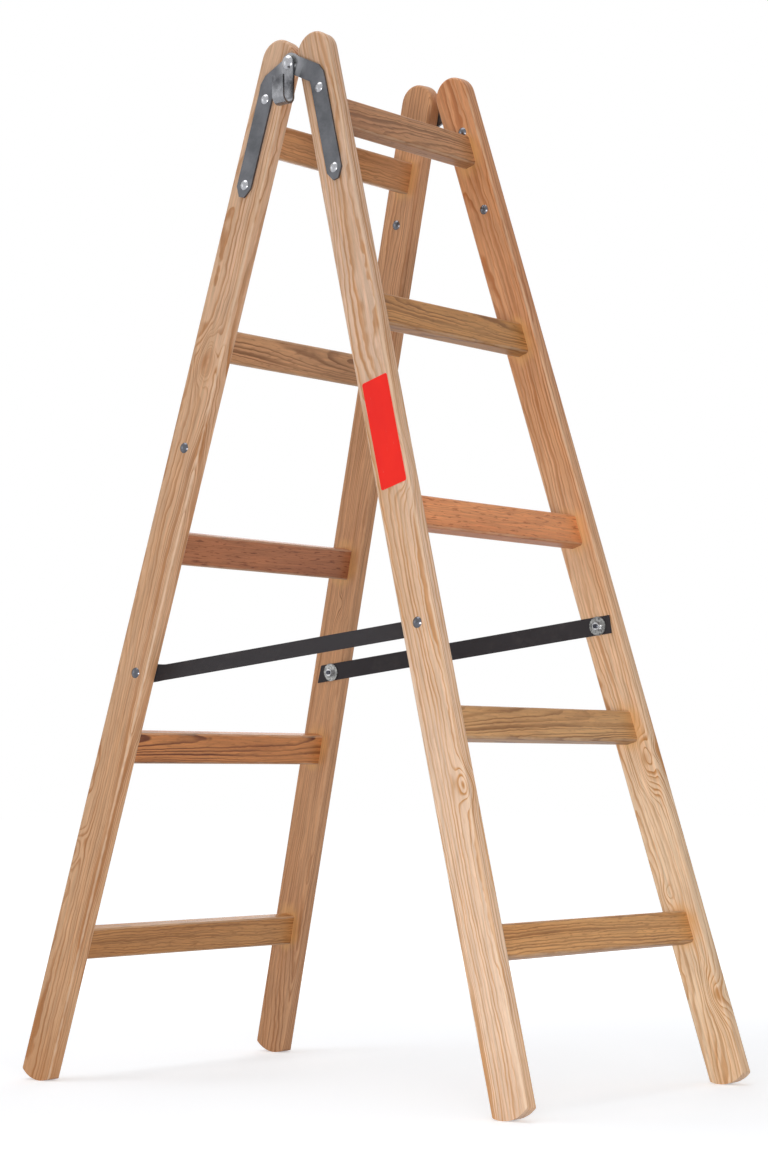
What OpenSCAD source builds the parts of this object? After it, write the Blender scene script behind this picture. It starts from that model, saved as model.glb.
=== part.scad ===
// Timber trestle ladder: two rung sections hinged at the top by steel arms, with a bucket hook on the
// near hinge pin and two webbing straps that stop the sections from spreading.
// Millimetres. The floor is z = 0 and the hinge axis runs along y above the origin. The front section
// stands towards +x, the rear one towards -x, and the near side is towards -y.

/* [Sections] */
// Length of each stile, measured square to the rungs
stile_length = 1447; // [1400:1:1800]
// Width of a stile's broad face
stile_width = 55; // [50:1:70]
// Thickness of a stile
stile_thickness = 22; // [20:0.5:32]
// Outer width of a section across the tops of its stiles
top_width = 318; // [280:1:400]
// Outer width of a section across the feet of its stiles
foot_width = 512; // [450:1:600]
// Lean of each section from upright with the ladder open
lean = 15.4; // [11:0.1:20]
// Space between the front and rear stile tops with the ladder open
tops_gap = 6.75; // [1:0.25:9]
// Height of the stile tops above the hinge axis
hinge_drop = 31; // [20:1:40]

/* [Stile shaping] */
// Radius on the long edges of a stile and round its top
stile_edge_r = 4; // [1:0.5:6]
// How far the half-round top stands inside the faces of the stile below it
top_inset = 0.05; // [0.02:0.01:0.2]
// Radius of the arch under a foot
foot_arch_r = 45; // [40:1:70]
// Radius where the foot arch meets the edges
foot_corner_r = 5; // [3:1:10]

/* [Rungs] */
// From the stile top to the middle of the front section's first rung
front_first_rung = 112; // [110:1:150]
// From the stile top to the middle of the rear section's first rung
rear_first_rung = 132; // [110:1:150]
// From the foot up to the middle of the front section's lowest rung
front_last_rung = 215; // [180:1:300]
// Height of a rung
rung_height = 44; // [36:1:52]
// Depth of a rung, front to back
rung_depth = 20; // [18:1:28]
// Radius on a rung's outward edges
rung_outer_r = 5; // [2:0.5:8]
// Radius on a rung's inward edges
rung_inner_r = 2; // [1:0.5:5]
// Height of a tenon
tenon_height = 30; // [24:1:34]
// Depth of a tenon, front to back
tenon_depth = 12; // [8:0.5:14]
// Length of a tenon
tenon_length = 13; // [8:0.5:15]
// Space between a tenon's end and the bottom of its mortise
tenon_end_gap = 0.5; // [0.2:0.1:2]

/* [Hinge arms] */
// Width of the flat steel
arm_width = 25; // [20:1:30]
// Thickness of the flat steel
arm_thickness = 3; // [2:0.25:4]
// Radius of the eye round the pivot
arm_eye_r = 13.5; // [13:0.25:15]
// Length of the cut across the elbow's outer corner
arm_corner_cut = 7; // [3:0.5:10]
// From a stile's middle line out to the middle of an arm's tail
arm_tail_inset = 2; // [0:0.5:4]
// From the pivot down to the elbow of an arm
arm_elbow_drop = 31; // [26:1:31]
// From the pivot down to the tip of an arm
arm_tip_drop = 183; // [178:1:230]
// Length of the tapering tip
arm_tip_length = 13; // [8:1:18]
// Width of the blunt end of the tip
arm_tip_width = 9; // [6:0.5:12]
// From the pivot along an arm to the start of its crank
crank_start = 14; // [13.5:0.5:17]
// Length of the crank
crank_length = 7; // [5:0.5:10]
// From the pivot down to the upper rivet
upper_rivet_drop = 51; // [51:1:52]
// From the pivot down to the lower rivet
lower_rivet_drop = 167; // [150:1:172]
// Radius of a rivet's shank
rivet_r = 4; // [3:0.25:5]
// Radius of a rivet's domed head
rivet_head_r = 6.75; // [6:0.25:7.5]
// Height of a rivet's domed head
rivet_head_height = 3; // [2:0.25:4]

/* [Pivot and hook] */
// Radius of a pivot pin
pin_r = 5; // [4:0.25:6]
// Radius of a pivot pin's domed head
pin_head_r = 9; // [8:0.5:11]
// Height of a pivot pin's domed head
pin_head_height = 4; // [3:0.5:6]
// Radius of the flat head at a pivot pin's inner end
pin_foot_r = 8; // [7:0.5:10]
// Thickness of the flat head at a pivot pin's inner end
pin_foot_thickness = 1.6; // [1:0.1:1.8]
// Radial running clearance round a pin
pin_clearance = 0.06; // [0.02:0.01:0.1]
// Sideways play between pieces on a pin
pin_play = 0.15; // [0.1:0.05:0.4]
// Radius of the washer under the hook
hook_washer_r = 11; // [9:0.5:12]
// Thickness of the washer under the hook
hook_washer_thickness = 2; // [2:0.25:4]
// Width of the hook's strip
hook_width = 19; // [15:0.5:24]
// Thickness of the hook's strip
hook_thickness = 3; // [2:0.25:4]
// From the pivot down to the bottom of the hook
hook_drop = 58; // [45:1:80]
// Clear space between the hook's two leaves
hook_mouth = 17; // [12:0.5:25]
// Height of the hook's outer leaf
hook_front_height = 37; // [25:1:45]

/* [Straps] */
// Width of the webbing
strap_width = 25; // [20:1:30]
// Thickness of the webbing
strap_thickness = 2; // [1.5:0.25:3]
// From midway between the front section's third and fourth rungs down to its strap bolts, on average
front_strap_drop = 3; // [-30:1:40]
// From midway between the rear section's third and fourth rungs down to its strap bolts, on average
rear_strap_drop = 29; // [-30:1:40]
// How much lower the near side's strap bolts are than the far side's
strap_stagger = 15; // [0:1:30]
// From a front stile's middle line to its strap bolt, towards the other section
front_strap_inset = 1; // [0:0.5:10]
// From a rear stile's middle line to its strap bolt, towards the other section
rear_strap_inset = 9; // [0:0.5:10]
// Length of webbing left beyond each bolt
strap_end_length = 20; // [15:1:24]
// Space on each side of a strap where the rear section's bolt holds it
strap_clearance = 0.05; // [0.02:0.01:0.2]

/* [Bolts] */
// Radius of a bolt's shank
bolt_r = 3; // [2.5:0.25:4]
// Radius of a bolt's domed head
bolt_head_r = 7.25; // [6:0.25:9]
// Height of a bolt's domed head
bolt_head_height = 3.5; // [2.5:0.25:5]
// Radial clearance of the holes for bolts and rivets
hole_clearance = 0.2; // [0.1:0.05:0.5]
// Radius of a toothed washer
washer_r = 13; // [10:0.5:14]
// Thickness of a toothed washer
washer_thickness = 1.5; // [1:0.25:3]
// Number of teeth round a washer
washer_teeth = 20; // [12:1:24]
// Depth of the gaps between a washer's teeth
washer_tooth_depth = 1.2; // [0.8:0.1:2]
// Width across the flats of a nut
nut_flats = 10; // [8:0.5:13]
// Thickness of a nut
nut_thickness = 5; // [4:0.25:7]
// Length of thread standing out of a nut
bolt_end_length = 2; // [1:0.5:5]
// From midway between the rear section's second and third rungs down to the lone bolt
lone_bolt_drop = 5; // [-30:1:40]

/* [Label] */
// Width of the blank label
label_width = 42; // [30:1:44]
// Height of the blank label
label_height = 146; // [100:1:160]
// Thickness of the blank label
label_thickness = 0.3; // [0.2:0.05:0.6]
// Radius on the label's corners
label_corner_r = 3; // [1:0.5:6]
// From midway between the front section's second and third rungs down to the label's middle
label_drop = 36; // [-30:1:60]
// From the stile's middle line out to the label's middle
label_offset = 2.5; // [-2:0.5:2.5]

/* [Hidden] */
$fn = 64;
// Cuts run past the faces that they open by this much
overrun = 2;
timber = [0.76, 0.57, 0.39];
rung_timber = [0.68, 0.45, 0.28];
zinc = [0.55, 0.56, 0.58];
webbing = [0.13, 0.12, 0.13];
label_red = [0.78, 0.07, 0.08];

// Each section has this many rungs, one node each, spaced evenly
rung_count = 5;
rung_pitch = (stile_length - front_first_rung - front_last_rung) / (rung_count - 1);

// Section frame: x leads out from the hinge plane, z up the section from the hinge axis
taper = atan((foot_width - top_width) / 2 / stile_length);
foot_level = hinge_drop - stile_length;
top_r = stile_width / 2;
top_centre = hinge_drop - top_r;
// The half-round tops lean towards each other, so the inner edges stand off to keep them apart
hinge_gap = (tops_gap / 2 + top_r + top_centre * sin(lean)) / cos(lean) - top_r;
stile_middle = hinge_gap + stile_width / 2;
hinge_height = foot_arch_r - (foot_level + foot_arch_r) * cos(lean) - stile_middle * sin(lean);
bar_length = 2 * stile_length;

// The arms stand clear of the stile tops from the bend below the elbow upwards
arm_tail_offset = stile_middle + arm_tail_inset;
bend_drop = arm_elbow_drop + arm_width / 2;
bridge_angle = atan2(arm_elbow_drop, arm_tail_offset);
bridge_length = norm([arm_elbow_drop, arm_tail_offset]);
crank_rise = arm_thickness + pin_play;
plate_inset = half_width(-bend_drop);
rivet_drops = [upper_rivet_drop, lower_rivet_drop];

// Distances along the near pin, outwards from the inner face of the rear arm
front_arm_outside = crank_rise + arm_thickness;
hook_inside = front_arm_outside + hook_washer_thickness + pin_play;
hook_outside = hook_inside + hook_thickness;
hook_bend_r = hook_mouth / 2 + hook_thickness;

strap_depth = stile_thickness + strap_thickness;
strap_clamped = strap_thickness + washer_thickness;
label_middle = stile_middle + label_offset;
label_level = -gap_drop(true, 2) - label_drop;
lone_bolt_level = -gap_drop(false, 2) - lone_bolt_drop;

// Half the outer width of a section at a height in its own frame
function half_width(z) = top_width / 2 + (hinge_drop - z) * tan(taper);

// Height of a rung's middle in its section's frame, counted from 1 at the top
function rung_level(front, number) =
    hinge_drop - (front ? front_first_rung : rear_first_rung) - (number - 1) * rung_pitch;

// Drop from the hinge axis to midway between a rung and the next one down
function gap_drop(front, number) = rung_pitch / 2 - rung_level(front, number);

// Drop of a strap's bolt on a section, and how far out from the hinge plane it is
function strap_drop(front, far) =
    gap_drop(front, 3) + (front ? front_strap_drop : rear_strap_drop) + (far ? -1 : 1) * strap_stagger / 2;
function strap_out(front) = stile_middle - (front ? front_strap_inset : rear_strap_inset);

// World x and z of a strap's bolt on a section
function strap_end(front, far) = [
    (front ? 1 : -1) * (strap_drop(front, far) * sin(lean) + strap_out(front) * cos(lean)),
    hinge_height - strap_drop(front, far) * cos(lean) + strap_out(front) * sin(lean)
];

// How far a strap climbs, in a section's frame, as it leaves the bolt for the other section
function strap_angle(front, far) =
    let (rise = strap_end(true, far) - strap_end(false, far), slope = atan2(rise[1], rise[0]))
    lean + (front ? -slope : slope);

// Where a place in the frame of a far stile's outer face is in the world
function face_place(front, x, y, z) =
    let (rise = y * sin(taper) + z * cos(taper))
    [
        (front ? 1 : -1) * (x * cos(lean) - rise * sin(lean)),
        half_width(0) + y * cos(taper) - z * sin(taper),
        hinge_height + x * sin(lean) + rise * cos(lean)
    ];

// Corners of a strap's section at a distance from its bolt towards the other ladder section
function strap_ring(front, far, along) =
    let (angle = strap_angle(front, far), half = strap_width / 2)
    let (low = front ? 0 : strap_clearance, high = strap_thickness - low)
    [
        for (corner = [[low, -half], [low, half], [high, half], [high, -half]])
            face_place(
                front,
                strap_out(front) - along * cos(angle) + corner[1] * sin(angle),
                corner[0] - strap_depth,
                along * sin(angle) + corner[1] * cos(angle) - strap_drop(front, far)
            )
    ];

// Places children given in a section's frame
module section_frame(front) {
    mirror([front ? 0 : 1, 0, 0])
        translate([0, 0, hinge_height])
            rotate([0, -lean, 0])
                children();
}

// Places children given for the far side on either side
module side_frame(far) {
    mirror([0, far ? 0 : 1, 0])
        children();
}

// Places children given on a stile's outer face: y leads outwards, z up along the stile
module face_frame() {
    translate([0, half_width(0), 0])
        rotate([taper, 0, 0])
            children();
}

// Both frames of one stile's outer face
module stile_frame(front, far) {
    section_frame(front)
        side_frame(far)
            face_frame()
                children();
}

// Stands an outline drawn in x and z upright, with its thickness outwards from y = 0
module upright(thickness) {
    translate([0, thickness, 0])
        rotate([90, 0, 0])
            linear_extrude(thickness)
                children();
}

// A cylinder along y, from one distance to another
module cross_cylinder(r, from, to) {
    translate([0, from, 0])
        rotate([-90, 0, 0])
            cylinder(r = r, h = to - from);
}

// A domed head that stands on y = 0 and points outwards
module dome(r, height) {
    ball_r = (r * r + height * height) / (2 * height);
    intersection() {
        translate([0, height - ball_r, 0])
            sphere(ball_r);
        cross_cylinder(r, 0, height);
    }
}

// A rectangle with its own radius at each end of x, centred on z
module edged_rectangle(width, height, near_r, far_r) {
    translate([near_r, -height / 2])
        square([width - near_r - far_r, height]);
    translate([0, near_r - height / 2])
        square([width / 2, height - 2 * near_r]);
    translate([width / 2, far_r - height / 2])
        square([width / 2, height - 2 * far_r]);
    for (side = [-1, 1]) {
        translate([near_r, side * (height / 2 - near_r)])
            circle(near_r);
        translate([width - far_r, side * (height / 2 - far_r)])
            circle(far_r);
    }
}

// A stile's broad face seen square on: the arch under its foot, with plain timber far above it
module foot_outline() {
    corner_x = stile_width / 2 - foot_corner_r;
    rise = sqrt((foot_arch_r - foot_corner_r) ^ 2 - corner_x ^ 2);
    reach = 2 * foot_arch_r / rise;
    translate([stile_middle, foot_level + foot_arch_r])
        mirror([0, 1]) {
            for (side = [-1, 1])
                translate([side * corner_x, rise])
                    circle(foot_corner_r);
            intersection() {
                circle(foot_arch_r);
                scale(reach)
                    polygon([[0, 0], [corner_x, rise], [-corner_x, rise]]);
            }
            translate([-stile_width / 2, -bar_length])
                square([stile_width, bar_length + rise]);
        }
}

// A long bar of the stile's section, up to the middle of its half-round top, in the face frame
module stile_bar() {
    translate([hinge_gap, -stile_thickness / 2, top_centre - bar_length])
        linear_extrude(bar_length)
            edged_rectangle(stile_width, stile_thickness, stile_edge_r, stile_edge_r);
}

// The round top of a stile, in the face frame: a disc with the same edges as the bar
module stile_top() {
    r = top_r - top_inset;
    thickness = stile_thickness - 2 * top_inset;
    translate([stile_middle, -stile_thickness / 2, top_centre])
        rotate([90, 0, 0])
            rotate_extrude()
                intersection() {
                    translate([-r, 0])
                        edged_rectangle(2 * r, thickness, stile_edge_r, stile_edge_r);
                    translate([0, -thickness])
                        square([2 * r, 2 * thickness]);
                }
}

// Blind mortises for a section's rungs, on the far side, in the section's frame
module mortises(front) {
    for (number = [1 : rung_count]) {
        level = rung_level(front, number);
        mouth = half_width(level) - stile_thickness / cos(taper);
        translate([stile_middle - tenon_depth / 2, mouth - overrun, level - tenon_height / 2])
            cube([tenon_depth, overrun + tenon_length + tenon_end_gap, tenon_height]);
    }
}

// A hole through a stile, and through what lies on its outer face, at a place on that face
module stile_hole(x, drop, r) {
    translate([x, 0, -drop])
        cross_cylinder(r + hole_clearance, -stile_thickness - overrun, arm_thickness + overrun);
}

module stile(front, far, has_lone_bolt) {
    section_frame(front)
        side_frame(far)
            difference() {
                intersection() {
                    face_frame() {
                        stile_bar();
                        stile_top();
                    }
                    upright(half_width(foot_level) + overrun)
                        foot_outline();
                }
                mortises(front);
                face_frame() {
                    for (drop = rivet_drops)
                        stile_hole(arm_tail_offset, drop, rivet_r);
                    stile_hole(strap_out(front), strap_drop(front, far), bolt_r);
                    if (has_lone_bolt)
                        stile_hole(stile_middle, -lone_bolt_level, bolt_r);
                }
            }
}

// A rung: shouldered against both inner faces, with a tenon at each end
module rung(front, number) {
    level = rung_level(front, number);
    mouth = half_width(level) - stile_thickness / cos(taper);
    section_frame(front) {
        difference() {
            translate([stile_middle - rung_depth / 2, 0, level])
                translate([0, half_width(foot_level), 0])
                    rotate([90, 0, 0])
                        linear_extrude(2 * half_width(foot_level))
                            edged_rectangle(rung_depth, rung_height, rung_inner_r, rung_outer_r);
            for (far = [true, false])
                side_frame(far)
                    face_frame()
                        translate([0, -stile_thickness, -bar_length / 2])
                            translate([0, 0, foot_level / 2])
                                cube([stile_width + stile_middle, foot_width, bar_length]);
        }
        translate([stile_middle - tenon_depth / 2, -mouth - tenon_length, level - tenon_height / 2])
            cube([tenon_depth, 2 * (mouth + tenon_length), tenon_height]);
    }
}

// A hinge arm laid flat: eye at the pivot, bridge to the elbow, tail down to a blunt tip
module arm_outline() {
    half = arm_width / 2;
    along = [cos(bridge_angle), -sin(bridge_angle)];
    across = [sin(bridge_angle), cos(bridge_angle)];
    outer_corner = half * across + along * (arm_tail_offset + half - half * across[0]) / along[0];
    inner_corner = along * (arm_tail_offset - half + half * across[0]) / along[0] - half * across;
    tip_top = -arm_tip_drop + arm_tip_length;
    circle(arm_eye_r);
    polygon([
        -half * across, inner_corner, [arm_tail_offset - half, tip_top],
        [arm_tail_offset - arm_tip_width / 2, -arm_tip_drop],
        [arm_tail_offset + arm_tip_width / 2, -arm_tip_drop], [arm_tail_offset + half, tip_top],
        outer_corner - [0, arm_corner_cut], outer_corner - arm_corner_cut * along, half * across
    ]);
}

// Edge view of the flat steel, y outwards and z up from the pivot: upright past the stile's top, then
// lying on the stile below the bend
module bent_profile() {
    tail_out = arm_tip_drop * tan(taper);
    tail_end = -bend_drop - arm_tip_drop;
    polygon([
        [0, arm_width], [0, -bend_drop], [tail_out, tail_end],
        [tail_out + arm_thickness / cos(taper), tail_end],
        [arm_thickness, arm_thickness * tan(taper / 2) - bend_drop], [arm_thickness, arm_width]
    ]);
}

// Edge view along the bridge of a block round the eye, from one level to another, sloped at the crank
module crank_profile(low, high) {
    slope_length = (high - low) * crank_length / crank_rise;
    polygon([
        [-arm_width, low], [crank_start + slope_length, low], [crank_start, high], [-arm_width, high]
    ]);
}

module eye_block(low, high) {
    rotate([0, bridge_angle, 0])
        translate([0, 0, -arm_tip_drop])
            linear_extrude(2 * arm_tip_drop)
                crank_profile(low, high);
}

// The bent sheet that an arm is cut from
module bent_sheet() {
    translate([-arm_tip_drop, 0, 0])
        rotate([90, 0, 90])
            linear_extrude(2 * arm_tip_drop)
                bent_profile();
}

// An arm: the front one's eye is stepped outwards, to lap over the rear one's
module arm(front, far) {
    section_frame(front)
        side_frame(far)
            difference() {
                translate([0, plate_inset, 0])
                    difference() {
                        intersection() {
                            translate([0, -arm_tip_drop, 0])
                                upright(2 * arm_tip_drop)
                                    arm_outline();
                            union() {
                                bent_sheet();
                                if (front)
                                    eye_block(arm_thickness / 2, front_arm_outside);
                            }
                        }
                        if (front)
                            eye_block(-arm_thickness, crank_rise);
                    }
                cross_cylinder(pin_r + (front ? 0 : pin_clearance), 0, foot_width);
                face_frame()
                    for (drop = rivet_drops)
                        stile_hole(arm_tail_offset, drop, rivet_r);
            }
}

// A rivet through an arm and its stile, with a dome on each end, in the face frame
module rivet() {
    cross_cylinder(rivet_r, -stile_thickness, arm_thickness);
    translate([0, arm_thickness, 0])
        dome(rivet_head_r, rivet_head_height);
    translate([0, -stile_thickness, 0])
        mirror([0, 1, 0])
            dome(rivet_head_r, rivet_head_height);
}

module arm_rivets(front, far) {
    stile_frame(front, far)
        for (drop = rivet_drops)
            translate([arm_tail_offset, 0, -drop])
                rivet();
}

// A pivot pin whose domed head stands at a distance outside the rear arm's inner face
module pivot_pin(far, head_inside) {
    translate([0, 0, hinge_height])
        side_frame(far)
            translate([0, plate_inset, 0]) {
                cross_cylinder(pin_r, -pin_play - pin_foot_thickness, head_inside);
                cross_cylinder(pin_foot_r, -pin_play - pin_foot_thickness, -pin_play);
                translate([0, head_inside, 0])
                    dome(pin_head_r, pin_head_height);
            }
}

// A coach bolt standing in the face frame, long enough for what it clamps inside the stile
module coach_bolt(clamped) {
    cross_cylinder(bolt_r, -stile_thickness - clamped - nut_thickness - bolt_end_length, 0);
    dome(bolt_head_r, bolt_head_height);
}

// A toothed washer lying from y = 0 inwards
module toothed_washer() {
    difference() {
        cross_cylinder(washer_r, -washer_thickness, 0);
        cross_cylinder(bolt_r + hole_clearance, -washer_thickness - overrun, overrun);
        for (tooth = [1 : washer_teeth])
            rotate([0, tooth * 360 / washer_teeth, 0])
                translate([washer_r, -washer_thickness - overrun, 0])
                    rotate([0, 45, 0])
                        translate([-washer_tooth_depth / 2, 0, -washer_tooth_depth / 2])
                            cube([washer_tooth_depth, washer_thickness + 2 * overrun, washer_tooth_depth]);
    }
}

// A hexagon nut lying from y = 0 inwards
module hex_nut() {
    difference() {
        translate([0, -nut_thickness, 0])
            rotate([-90, 0, 0])
                cylinder(r = nut_flats / 2 / cos(30), h = nut_thickness, $fn = 6);
        cross_cylinder(bolt_r + hole_clearance / 2, -nut_thickness - overrun, overrun);
    }
}

// Places children at both strap bolts of a section, a distance inside the outer face
module at_strap_bolts(front, depth) {
    for (far = [true, false])
        stile_frame(front, far)
            translate([strap_out(front), -depth, -strap_drop(front, far)])
                children();
}

// Places children at the lone bolt, a distance inside the outer face
module at_lone_bolt(depth) {
    stile_frame(false, false)
        translate([stile_middle, -depth, lone_bolt_level])
            children();
}

// A strap: flat on both stiles, past their edges by its own width, then straight across
module strap(far) {
    reach = stile_width / 2 + strap_width;
    points = concat(
        strap_ring(true, far, -strap_end_length), strap_ring(true, far, reach),
        strap_ring(false, far, reach), strap_ring(false, far, -strap_end_length)
    );
    corners = len(strap_ring(true, far, reach));
    last = len(points) - corners;
    sides = [
        for (start = [0 : corners : last - corners], corner = [0 : corners - 1])
            let (here = start + corner, next = start + (corner + 1) % corners)
            each [[here, next, next + corners], [here, next + corners, here + corners]]
    ];
    ends = [[2, 1, 0], [3, 2, 0], [last, last + 1, last + 2], [last, last + 2, last + 3]];
    side_frame(far)
        difference() {
            polyhedron(points, concat(sides, ends));
            for (front = [true, false])
                section_frame(front)
                    face_frame()
                        translate([strap_out(front), 0, -strap_drop(front, far)])
                            cross_cylinder(bolt_r + hole_clearance, -strap_depth - overrun, 0);
        }
}

// Side view of the hook: inner leaf, round bend and outer leaf, y outwards and z up from the pivot
module hook_profile() {
    bend_level = hook_bend_r - hook_drop;
    translate([0, bend_level])
        square([hook_thickness, hook_width / 2 - bend_level]);
    translate([hook_mouth + hook_thickness, bend_level])
        square([hook_thickness, hook_front_height - hook_bend_r]);
    translate([hook_bend_r, bend_level])
        difference() {
            circle(hook_bend_r);
            circle(hook_bend_r - hook_thickness);
            translate([-2 * hook_bend_r, 0])
                square([4 * hook_bend_r, 2 * hook_bend_r]);
        }
}

module front_near_stile() { color(timber) stile(true, false, false); }
module front_far_stile() { color(timber) stile(true, true, false); }
module rear_near_stile() { color(timber) stile(false, false, true); }
module rear_far_stile() { color(timber) stile(false, true, false); }
module front_rung_1() { color(rung_timber) rung(true, 1); }
module front_rung_2() { color(rung_timber) rung(true, 2); }
module front_rung_3() { color(rung_timber) rung(true, 3); }
module front_rung_4() { color(rung_timber) rung(true, 4); }
module front_rung_5() { color(rung_timber) rung(true, 5); }
module rear_rung_1() { color(rung_timber) rung(false, 1); }
module rear_rung_2() { color(rung_timber) rung(false, 2); }
module rear_rung_3() { color(rung_timber) rung(false, 3); }
module rear_rung_4() { color(rung_timber) rung(false, 4); }
module rear_rung_5() { color(rung_timber) rung(false, 5); }
module front_near_arm() { color(zinc) arm(true, false); }
module front_far_arm() { color(zinc) arm(true, true); }
module rear_near_arm() { color(zinc) arm(false, false); }
module rear_far_arm() { color(zinc) arm(false, true); }
module front_near_arm_rivets() { color(zinc) arm_rivets(true, false); }
module front_far_arm_rivets() { color(zinc) arm_rivets(true, true); }
module rear_near_arm_rivets() { color(zinc) arm_rivets(false, false); }
module rear_far_arm_rivets() { color(zinc) arm_rivets(false, true); }
module near_pivot_pin() { color(zinc) pivot_pin(false, hook_outside + pin_play); }
module far_pivot_pin() { color(zinc) pivot_pin(true, front_arm_outside); }

module hook_washer() {
    color(zinc)
        translate([0, 0, hinge_height])
            side_frame(false)
                translate([0, plate_inset + front_arm_outside, 0])
                    difference() {
                        cross_cylinder(hook_washer_r, 0, hook_washer_thickness);
                        cross_cylinder(pin_r, -overrun, hook_washer_thickness + overrun);
                    }
}

module bucket_hook() {
    color(zinc)
        translate([0, 0, hinge_height])
            side_frame(false)
                translate([0, plate_inset + hook_inside, 0])
                    difference() {
                        intersection() {
                            translate([-hook_width / 2, 0, 0])
                                rotate([90, 0, 90])
                                    linear_extrude(hook_width)
                                        hook_profile();
                            union() {
                                cross_cylinder(hook_width / 2, -overrun, 2 * hook_bend_r + overrun);
                                translate([-hook_width, -overrun, -2 * hook_drop])
                                    cube([2 * hook_width, 2 * hook_bend_r + 2 * overrun, 2 * hook_drop]);
                            }
                        }
                        cross_cylinder(pin_r + pin_clearance, -overrun, hook_thickness + overrun);
                    }
}

module near_strap() { color(webbing) strap(false); }
module far_strap() { color(webbing) strap(true); }
module front_strap_bolts() { color(zinc) at_strap_bolts(true, 0) coach_bolt(strap_clamped); }
module rear_strap_bolts() { color(zinc) at_strap_bolts(false, 0) coach_bolt(strap_clamped); }
module front_strap_washers() { color(zinc) at_strap_bolts(true, strap_depth) toothed_washer(); }
module rear_strap_washers() { color(zinc) at_strap_bolts(false, strap_depth) toothed_washer(); }
module front_strap_nuts() { color(zinc) at_strap_bolts(true, strap_depth + washer_thickness) hex_nut(); }
module rear_strap_nuts() { color(zinc) at_strap_bolts(false, strap_depth + washer_thickness) hex_nut(); }

module lone_bolt() { color(zinc) at_lone_bolt(0) coach_bolt(washer_thickness); }
module lone_bolt_washer() { color(zinc) at_lone_bolt(stile_thickness) toothed_washer(); }
module lone_bolt_nut() { color(zinc) at_lone_bolt(stile_thickness + washer_thickness) hex_nut(); }

module stile_label() {
    color(label_red)
        stile_frame(true, false)
            translate([label_middle - label_width / 2, 0, label_level])
                upright(label_thickness)
                    edged_rectangle(label_width, label_height, label_corner_r, label_corner_r);
}

front_near_stile();
front_far_stile();
rear_near_stile();
rear_far_stile();
front_rung_1();
front_rung_2();
front_rung_3();
front_rung_4();
front_rung_5();
rear_rung_1();
rear_rung_2();
rear_rung_3();
rear_rung_4();
rear_rung_5();
front_near_arm();
front_far_arm();
rear_near_arm();
rear_far_arm();
front_near_arm_rivets();
front_far_arm_rivets();
rear_near_arm_rivets();
rear_far_arm_rivets();
near_pivot_pin();
far_pivot_pin();
hook_washer();
bucket_hook();
near_strap();
far_strap();
front_strap_bolts();
rear_strap_bolts();
front_strap_washers();
rear_strap_washers();
front_strap_nuts();
rear_strap_nuts();
lone_bolt();
lone_bolt_washer();
lone_bolt_nut();
stile_label();
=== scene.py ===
# %% [markdown]
# A timber trestle ladder, dressed for a picture.
# The exact solids come from the imported frame: stiles, rungs, hinge arms and fasteners are already the right
# size and in the right place. What is left for Blender is what a solid model can't say: which way the grain
# runs in each board, where hands have rubbed the lacquer thin, where light and shade are painted into the
# colour, how zinc plate dulls, and how a strap is woven.

# %% Load the frame
import math
import bpy
import bmesh
from mathutils import Matrix, Vector


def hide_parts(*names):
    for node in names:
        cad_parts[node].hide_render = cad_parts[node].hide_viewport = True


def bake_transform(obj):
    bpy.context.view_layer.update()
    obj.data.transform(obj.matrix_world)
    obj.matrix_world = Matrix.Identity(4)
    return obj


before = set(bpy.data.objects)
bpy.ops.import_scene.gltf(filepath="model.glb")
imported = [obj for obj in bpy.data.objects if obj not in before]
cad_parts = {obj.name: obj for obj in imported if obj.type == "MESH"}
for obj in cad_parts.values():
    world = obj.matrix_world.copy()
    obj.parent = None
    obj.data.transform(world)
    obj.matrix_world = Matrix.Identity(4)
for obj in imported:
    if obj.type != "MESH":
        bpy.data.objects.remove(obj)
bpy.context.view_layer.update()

# %% [markdown]
# The camera. The picture was taken from low down, a little below the fourth rungs, at about 39 degrees round
# the ladder. A camera could be set by eye, but then every edge would be a little out. Here it was worked out
# from the stile and rung edges, so its place, turn and lens are plain numbers. The lens looks a little above
# the level, and a small shift does the rest.

# %% Camera
PICTURE_HEIGHT = 1174
CAMERA_PLACE = Vector((2.297072, -2.826861, 0.392609))
CAMERA_YAW, CAMERA_PITCH, CAMERA_ROLL = (math.radians(a) for a in (38.937, 1.139, -0.469))
FOCAL_PIXELS, MIDDLE_PIXEL = 2671.074, 740.0
SENSOR_WIDTH = 36  # Blender fits it to the picture's longer side, which is the height here
FARTHEST_SEEN = 100

camera_data = bpy.data.cameras.new("camera")
camera = bpy.data.objects.new("camera", camera_data)
bpy.context.scene.collection.objects.link(camera)
right = Vector((math.cos(CAMERA_YAW), math.sin(CAMERA_YAW), 0))
ahead = Vector((
    -math.sin(CAMERA_YAW) * math.cos(CAMERA_PITCH),
    math.cos(CAMERA_YAW) * math.cos(CAMERA_PITCH),
    math.sin(CAMERA_PITCH),
))
above = right.cross(ahead)
camera_x = right * math.cos(CAMERA_ROLL) + above * math.sin(CAMERA_ROLL)
camera_y = above * math.cos(CAMERA_ROLL) - right * math.sin(CAMERA_ROLL)
camera_turn = Matrix((camera_x, camera_y, -ahead)).transposed().to_4x4()
camera.matrix_world = Matrix.Translation(CAMERA_PLACE) @ camera_turn
camera_data.sensor_width = SENSOR_WIDTH
camera_data.lens = FOCAL_PIXELS * SENSOR_WIDTH / PICTURE_HEIGHT
camera_data.shift_y = (MIDDLE_PIXEL - PICTURE_HEIGHT / 2) / PICTURE_HEIGHT
camera_data.clip_end = FARTHEST_SEEN
bpy.context.scene.camera = camera
print("camera lens", round(camera_data.lens, 1), "mm, shift", round(camera_data.shift_y, 3))

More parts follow.
